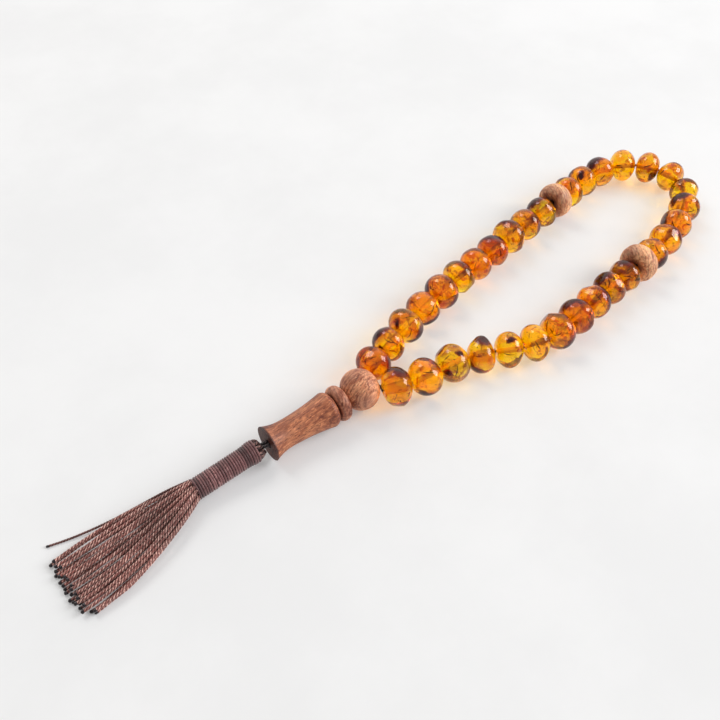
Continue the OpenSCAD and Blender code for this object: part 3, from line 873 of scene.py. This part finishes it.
# ---------------------------------------------------------------- wood
def wood_material(name, light, mid, dark, along, stretch, seed, layers, painted_shade=None):
    """Open-pored wood whose grain runs along a direction, with its growth layers.

    painted_shade is (kind, point, axis, low, high, colour): painted shade that darkens the wood towards
    colour from low to high, measured along the axis from point (kind "end") or off it (kind "hub").
    """
    material, tree, out = new_material(name)
    place = add(tree, "TexCoord").outputs["Object"]
    turn = Vector(along).normalized().to_track_quat("X", "Z").inverted().to_euler()
    turned = add(tree, "Mapping", {"Vector": place, "Rotation": turn,
                                   "Location": (seed, seed * 0.7, seed * 0.3)}).outputs[0]
    long = add(tree, "Mapping", {"Vector": turned, "Scale": (1 / stretch, 1, 1)}).outputs[0]
    broad = add(tree, "TexNoise", {"Vector": long, "Scale": 330.0, "Detail": 5.0,
                                   "Roughness": 0.6, "Distortion": 0.9})
    fleck = add(tree, "TexNoise", {"Vector": long, "Scale": 2400.0, "Detail": 3.0,
                                   "Roughness": 0.7, "Distortion": 0.5})
    layer = add(tree, "TexWave", {"Vector": long, "Scale": 330.0, "Distortion": 7.0,
                                  "Detail": 3.0, "Detail Scale": 1.1},
                wave_type="BANDS", bands_direction="Y")
    short = add(tree, "Mapping", {"Vector": turned, "Scale": (0.28, 1, 1)}).outputs[0]
    pores = add(tree, "TexVoronoi", {"Vector": short, "Scale": 2100.0, "Randomness": 1.0})
    patch = add(tree, "TexNoise", {"Vector": turned, "Scale": 130.0, "Detail": 2.0})
    colour = mix_rgb(tree, ramp(tree, broad.outputs[0], 0.40, 0.60), mid, light)
    streak = ramp(tree, broad.outputs[0], 0.44, 0.36)
    colour = mix_rgb(tree, math_node(tree, "MULTIPLY", streak, 0.6), colour, dark)
    ring = math_node(tree, "MULTIPLY", ramp(tree, layer.outputs["Fac"], 0.6, 0.95), layers)
    colour = mix_rgb(tree, ring, colour, dark)
    line = ramp(tree, fleck.outputs[0], 0.52, 0.66)
    colour = mix_rgb(tree, math_node(tree, "MULTIPLY", line, 0.6), colour, dark)
    pale = ramp(tree, fleck.outputs[0], 0.46, 0.34)
    colour = mix_rgb(tree, math_node(tree, "MULTIPLY", pale, 0.6), colour,
                     tuple(min(1, 1.6 * c) for c in light[:3]) + (1,))
    tint = mix_rgb(tree, ramp(tree, patch.outputs[0], 0.35, 0.65), (0.72, 0.66, 0.70, 1),
                   (1.14, 1.1, 1.03, 1))
    colour = mix_rgb(tree, 1.0, colour, tint, "MULTIPLY")
    pore = math_node(tree, "MULTIPLY", ramp(tree, pores.outputs[0], 0.34, 0.14),
                     ramp(tree, patch.outputs[0], 0.35, 0.55))
    colour = mix_rgb(tree, math_node(tree, "MULTIPLY", pore, 0.6), colour,
                     tuple(0.6 * c for c in dark[:3]) + (1,))
    # Painted shade: the wood darkens towards shade_colour at an end face or near a bore
    if painted_shade:
        kind, point, axis, low, high, shade_colour = painted_shade
        away = add(tree, "VectorMath", {0: place, 1: tuple(-np.array(point))},
                   operation="ADD").outputs[0]
        if kind == "end":
            reach = add(tree, "VectorMath", {0: away, 1: tuple(axis)},
                        operation="DOT_PRODUCT").outputs["Value"]
        else:
            across = add(tree, "VectorMath", {0: away, 1: tuple(axis)},
                         operation="CROSS_PRODUCT").outputs[0]
            reach = add(tree, "VectorMath", {0: across}, operation="LENGTH").outputs["Value"]
        shade = mix_rgb(tree, ramp(tree, reach, low, high), (1, 1, 1, 1), shade_colour)
        colour = mix_rgb(tree, 1.0, colour, shade, "MULTIPLY")
    height = math_node(tree, "SUBTRACT", math_node(tree, "MULTIPLY", fleck.outputs[0], -0.6),
                       math_node(tree, "ADD", pore, math_node(tree, "MULTIPLY", ring, 0.8)))
    bump = add(tree, "Bump", {"Height": height, "Strength": 0.5, "Distance": 0.00014})
    surface = add(tree, "BsdfPrincipled", {
        "Base Color": colour, "Roughness": 0.5, "Normal": bump.outputs[0],
        "Specular IOR Level": 0.35,
    })
    tree.links.new(surface.outputs[0], out.inputs["Surface"])
    return material


def dress(node, material):
    mesh = frame["nodes"][node].data
    mesh.materials.clear()
    mesh.materials.append(material)


def worn_divider(number, share, material):
    """A divider as turned and worn: dished faces and a soft, slightly uneven rim.

    share is how much of the CAD form's radius it keeps.
    """
    node = f"divider_{number}"
    centre, axis, outer, length, bore = bead_frame(node)
    outer *= share
    side = unit(np.cross([0, 0, 1], axis))
    up = np.cross(axis, side)
    half = length / 2
    crown = outer * 0.66
    outline = []
    for t in np.linspace(0, 1, 12):
        outline.append((bore + (crown - bore) * t, -half * (0.62 + 0.38 * math.sin(t * math.pi / 2))))
    for a in np.linspace(-math.pi / 2, math.pi / 2, 26)[1:-1]:
        outline.append((crown + (outer - crown) * math.cos(a) ** 0.75, half * math.sin(a)))
    outline += [(r, -x) for r, x in outline[11::-1]]
    turn = np.linspace(0, 2 * math.pi, 72, endpoint=False)
    verts = []
    for r, x in outline:
        for a in turn:
            round_it = math.cos(a) * side + math.sin(a) * up
            worn = noise.noise(Vector(round_it) * 2.1 + Vector((number * 5.3, x / half * 0.8, 0)))
            fine = noise.noise(Vector(round_it) * 9 + Vector((x / MM * 1.7, r / MM * 1.3, number)))
            far = r * (1 + (0.035 * min(0, worn) + 0.012 * min(0, fine)) * (r - bore) / (outer - bore))
            verts.append(x * (1 + 0.05 * min(0, fine)) * axis + far * round_it)
    faces = bored_faces(len(outline), len(turn))
    piece = make_piece(f"worn_divider_{number}", verts, faces, [material])
    piece.location = centre
    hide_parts(node)
    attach(piece, node)


ROSE = (rgb(190, 124, 88), rgb(150, 86, 60), rgb(88, 44, 38))
PINK = (rgb(250, 190, 144), rgb(212, 140, 102), rgb(116, 64, 48))
PALE_ROSE = (rgb(228, 160, 122), rgb(182, 110, 78), rgb(92, 46, 38))
dress("imam_round_bead",
      wood_material("rosewood_round", *PALE_ROSE, (0.9, 0.1, 0.6), 4.0, 0.2, 0.32))
dress("imam_disc", wood_material("rosewood_disc", *PALE_ROSE, (0.3, 1, 0.3), 3.0, 0.5, 0.42))
# Painted shade darkens the baluster's foot face, where it meets the tassel's neck
foot = (IMAM_AT + [-27.8, 0, 4.75]) * MM
dress("imam_baluster", wood_material("rosewood_baluster", *ROSE, (1, 0.12, 0.05), 5.0, 0.9, 0.25, (
    "end", foot, (-1, 0, 0), -0.5 * MM, -0.1 * MM, (0.27, 0.2, 0.22, 1),
)))
for number, way, share in ((1, (0.2, 0.7, 1), 0.94), (2, (0.5, 1, 0.4), 0.99)):
    _, axis, outer, _, _ = bead_frame(f"divider_{number}")
    # Painted shade darkens each divider's dished faces towards its bore
    hub = ("hub", (0, 0, 0), axis, 0.68 * outer, 0.28 * outer, (0.28, 0.22, 0.2, 1))
    worn_divider(number, share, wood_material(f"divider_wood_{number}", *PINK, way, 2.5,
                                              number * 1.3, 0.36, hub))
for node in ("loop_cord", "end_knot"):
    dress(node, black_cord)
dress("tassel_core", sealed_tip)

# ---------------------------------------------------------------- floor and light
floor_material, tree, out = new_material("pale_floor")
place = add(tree, "TexCoord").outputs["Object"]
mottle = add(tree, "TexNoise", {"Vector": place, "Scale": 14.0, "Detail": 6.0,
                                "Roughness": 0.62})
colour = mix_rgb(tree, ramp(tree, mottle.outputs[0], 0.35, 0.65), (0.62, 0.619, 0.618, 1),
                 (0.66, 0.659, 0.658, 1))
surface = add(tree, "BsdfPrincipled", {"Base Color": colour, "Roughness": 0.9,
                                       "Specular IOR Level": 0.05,
                                       "Emission Color": (1, 1, 1, 1),
                                       "Emission Strength": 0.2})
tree.links.new(surface.outputs[0], out.inputs["Surface"])
FLOOR = 3.0
floor = make_piece("floor", [(-FLOOR, -FLOOR, 0), (FLOOR, -FLOOR, 0), (FLOOR, FLOOR, 0),
                             (-FLOOR, FLOOR, 0)], [(0, 1, 2, 3)], [floor_material], False)


def area_light(name, right, up, near, distance, size, power, colour):
    """A soft box aimed at the origin, placed to the camera's right, upwards and near it."""
    lamp = bpy.data.lights.new(name, "AREA")
    lamp.shape = "SQUARE"
    lamp.size = size
    lamp.energy = power
    lamp.color = colour
    made = bpy.data.objects.new(name, lamp)
    flat_near = Vector((TOWARDS_CAMERA.x, TOWARDS_CAMERA.y, 0)).normalized()
    way = (VIEW_RIGHT * right + flat_near * near + Vector((0, 0, 1)) * up).normalized()
    made.location = way * distance
    made.rotation_euler = (-way).to_track_quat("-Z", "Y").to_euler()
    scene.collection.objects.link(made)


area_light("window_left", right=-0.47, up=0.74, near=-0.47, distance=1.1, size=0.42,
           power=2.9, colour=(1, 0.985, 0.96))
area_light("soft_right", right=0.84, up=0.5, near=-0.1, distance=1.6, size=0.87,
           power=22.0, colour=(0.97, 0.98, 1))

world = bpy.data.worlds.new("studio")
scene.world = world
world.use_nodes = True
tree = world.node_tree
tree.nodes.clear()
sky = add(tree, "TexCoord").outputs["Generated"]
height = add(tree, "SeparateXYZ", {0: sky}).outputs[2]
dome = mix_rgb(tree, ramp(tree, height, 0.0, 0.9), (0.66, 0.63, 0.65, 1), (0.9, 0.9, 0.9, 1))
behind = add(tree, "VectorMath", {0: sky, 1: (0.52, 0.75, 0.40)},
             operation="DOT_PRODUCT").outputs["Value"]
colour = mix_rgb(tree, ramp(tree, behind, 0.55, 0.95), dome, (2.3, 2.28, 2.2, 1))
back = add(tree, "Background", {"Color": colour, "Strength": 0.5})
tree.links.new(back.outputs[0], add(tree, "OutputWorld").inputs["Surface"])

scene.view_settings.view_transform = "Standard"
scene.view_settings.exposure = 0.0
